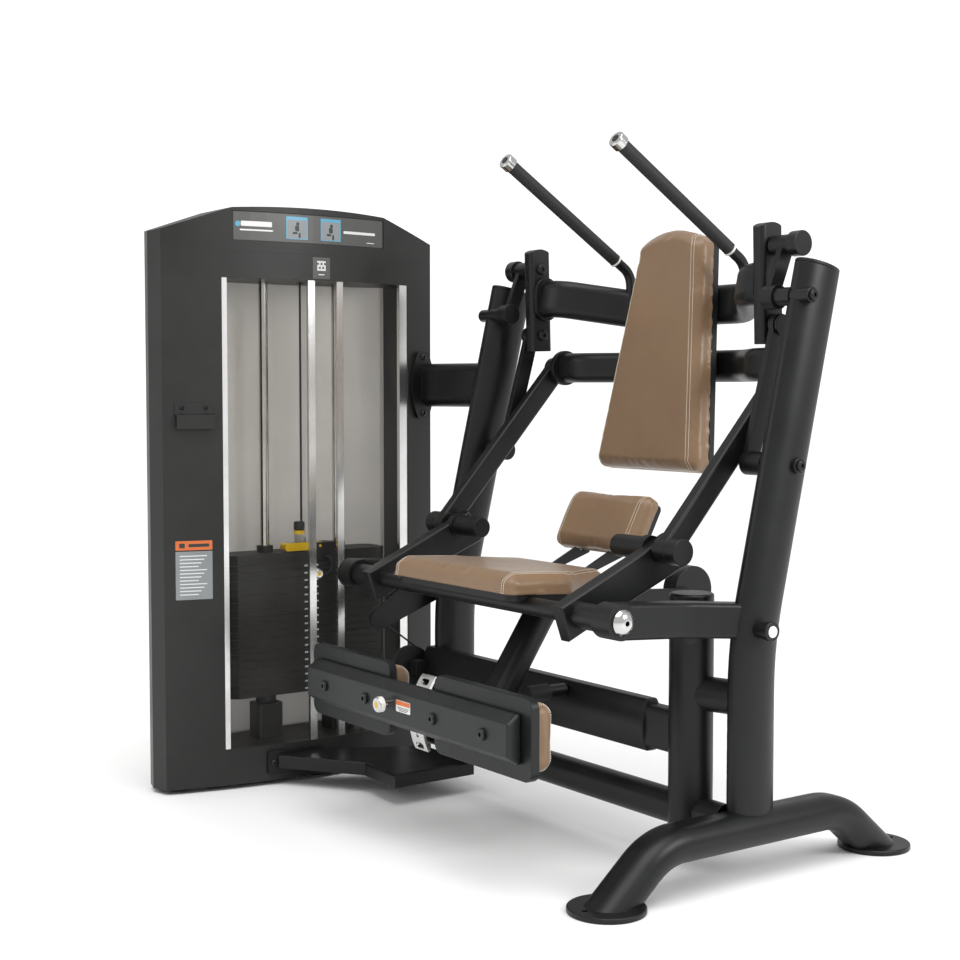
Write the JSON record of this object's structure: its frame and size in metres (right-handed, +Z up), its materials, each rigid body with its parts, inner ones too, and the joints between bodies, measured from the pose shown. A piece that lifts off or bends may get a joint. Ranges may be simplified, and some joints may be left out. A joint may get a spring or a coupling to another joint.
{
  "type": "abdominal crunch machine",
  "caption": "Seated abdominal crunch gym machine with an enclosed weight tower, a reclined back pad with overhead handles, a tilting seat and adjustable foot pads.",
  "frame": {"origin": "middle of the whole footprint, on the floor", "axes": "+Z up; the user faces -Y; the weight tower stands at -X, beside the user's right hand"},
  "size_m": [1.586, 1.227, 1.6133],
  "materials": {
    "powder_coat_black": "fine-textured black powder coat",
    "bright_steel": "ground bright steel",
    "chrome_plate": "polished chrome plate",
    "black_hardware": "black oxide fasteners and caps",
    "tower_paint": "dark grey powder-coated sheet",
    "clear_shield": "pale clear shield",
    "bright_trim": "satin anodised extrusion",
    "rubber": "moulded black rubber",
    "cast_plate": "black painted cast plates",
    "black_nylon": "moulded nylon pulley",
    "cable_sheath": "nylon-coated cable and coiled cord",
    "yellow_plastic": "moulded yellow plastic",
    "knob_plastic": "white and yellow knob",
    "tan_vinyl": "tan upholstery vinyl",
    "black_board": "black moulded backing board",
    "channel_grey": "dark grey powder coat"
  },
  "bodies": {
    "root": {"base_tube": "powder_coat_black", "foot_base": "powder_coat_black", "foot_platform": "powder_coat_black", "frame_bolts": "black_hardware", "guide_rods": "bright_steel", "levelling_feet": "rubber", "pivot_caps": "chrome_plate", "pivot_shafts": "black_hardware", "pulley_cable": "cable_sheath", "rear_beam": "powder_coat_black", "rear_post": "powder_coat_black", "rubber_stops": "rubber", "seat_arms": "powder_coat_black", "tie_tube": "powder_coat_black", "tower_base": "tower_paint", "tower_cowl": "tower_paint", "tower_front_post": "tower_paint", "tower_header": "tower_paint", "tower_rear_post": "tower_paint", "tower_shields": "clear_shield", "tube_end_caps": "powder_coat_black", "uprights": "powder_coat_black", "weight_plates": "cast_plate", "window_trims": "bright_trim"},
    "cranks": {"cranks": "powder_coat_black"},
    "rockers": {"rockers": "powder_coat_black"},
    "back_frame": {"side_plates": "powder_coat_black", "upper_crossbar": "powder_coat_black", "lower_crossbar": "powder_coat_black", "back_pivot_pins": "black_hardware", "back_board": "black_board", "back_pad": "tan_vinyl", "handle_tubes": "powder_coat_black", "handle_grips": "rubber", "grip_caps": "chrome_plate"},
    "seat_carriage": {"carriage_arms": "powder_coat_black", "seat_board": "black_board", "seat_pad": "tan_vinyl", "foot_bar": "powder_coat_black", "counterweight": "powder_coat_black", "lumbar_board": "black_board", "lumbar_pad": "tan_vinyl", "adjuster_plate": "chrome_plate"},
    "long_links": {"long_links": "powder_coat_black"},
    "foot_set": {"pad_channel": "channel_grey", "foot_boards": "black_board", "foot_pads": "tan_vinyl", "channel_bolts": "black_hardware", "pop_barrel": "chrome_plate"},
    "pop_pin": {"pop_pin": "knob_plastic"},
    "cable_lever": {"cable_lever": "powder_coat_black", "lever_cable": "cable_sheath"},
    "low_pulley": {"low_pulley": "black_nylon"},
    "stack": {"top_plate": "cast_plate", "selected_plates": "cast_plate", "selector_rod": "bright_steel", "stack_cable": "cable_sheath", "pin_lanyard": "cable_sheath"},
    "selector_pin": {"selector_pin": "knob_plastic"},
    "increment_lever": {"increment_lever": "yellow_plastic"}
  },
  "joints": [
    {"name": "crank_hinge", "type": "hinge", "parent": "root", "child": "cranks", "pos_m": [0.153, 0.2645, 1.239], "axis": [1, 0, 0], "range_deg": [0, 38]},
    {"name": "back_hinge", "type": "hinge", "parent": "cranks", "child": "back_frame", "pos_m": [0.153, 0.3115, 1.356], "axis": [1, 0, 0], "range_deg": [-31, 0.5]},
    {"name": "rocker_hinge", "type": "hinge", "parent": "root", "child": "rockers", "pos_m": [0.153, 0.2325, 0.878], "axis": [1, 0, 0], "range_deg": [-0.5, 11.5]},
    {"name": "seat_hinge", "type": "hinge", "parent": "root", "child": "seat_carriage", "pos_m": [0.153, -0.1995, 0.572], "axis": [1, 0, 0], "range_deg": [-8.2, 0.5]},
    {"name": "link_hinge", "type": "hinge", "parent": "seat_carriage", "child": "long_links", "pos_m": [0.153, 0.0195, 0.695], "axis": [1, 0, 0], "range_deg": [-0.5, 17]},
    {"name": "lever_hinge", "type": "hinge", "parent": "root", "child": "cable_lever", "pos_m": [-0.452, 0.1325, 0.536], "axis": [1, 0, 0], "range_deg": [-35, 0.5]},
    {"name": "pulley_spin", "type": "hinge", "parent": "root", "child": "low_pulley", "pos_m": [-0.465, 0.0335, 0.296], "axis": [1, 0, 0], "range_deg": [-145, 1]},
    {"name": "stack_lift", "type": "slide", "parent": "root", "child": "stack", "axis": [0, 0, 1], "range_m": [-0.0005, 0.135]},
    {"name": "pin_pull", "type": "slide", "parent": "stack", "child": "selector_pin", "axis": [1, 0, 0], "range_m": [0, 0.05]},
    {"name": "half_step_lever", "type": "hinge", "parent": "stack", "child": "increment_lever", "pos_m": [-0.651, -0.1485, 0.618], "axis": [1, 0, 0], "range_deg": [-30, 0]},
    {"name": "foot_pad_tilt", "type": "hinge", "parent": "seat_carriage", "child": "foot_set", "pos_m": [0.153, -0.1915, 0.3], "axis": [1, 0, 0], "range_deg": [-12, 12]},
    {"name": "pop_pin_pull", "type": "slide", "parent": "foot_set", "child": "pop_pin", "axis": [0, -1, 0], "range_m": [0, 0.012], "stiffness_N_per_m": 250, "springref_m": -0.002}
  ],
  "couplings": [
    {"joint": "back_hinge", "follows": "crank_hinge", "ratio": -0.8},
    {"joint": "rocker_hinge", "follows": "crank_hinge", "ratio": 0.2875},
    {"joint": "seat_hinge", "follows": "crank_hinge", "ratio": -0.2006},
    {"joint": "link_hinge", "follows": "crank_hinge", "ratio": 0.4252},
    {"joint": "lever_hinge", "follows": "crank_hinge", "ratio": -0.9},
    {"joint": "pulley_spin", "follows": "crank_hinge", "ratio": -3.7},
    {"joint": "stack_lift", "follows": "crank_hinge", "m_per_rad": 0.196}
  ]
}
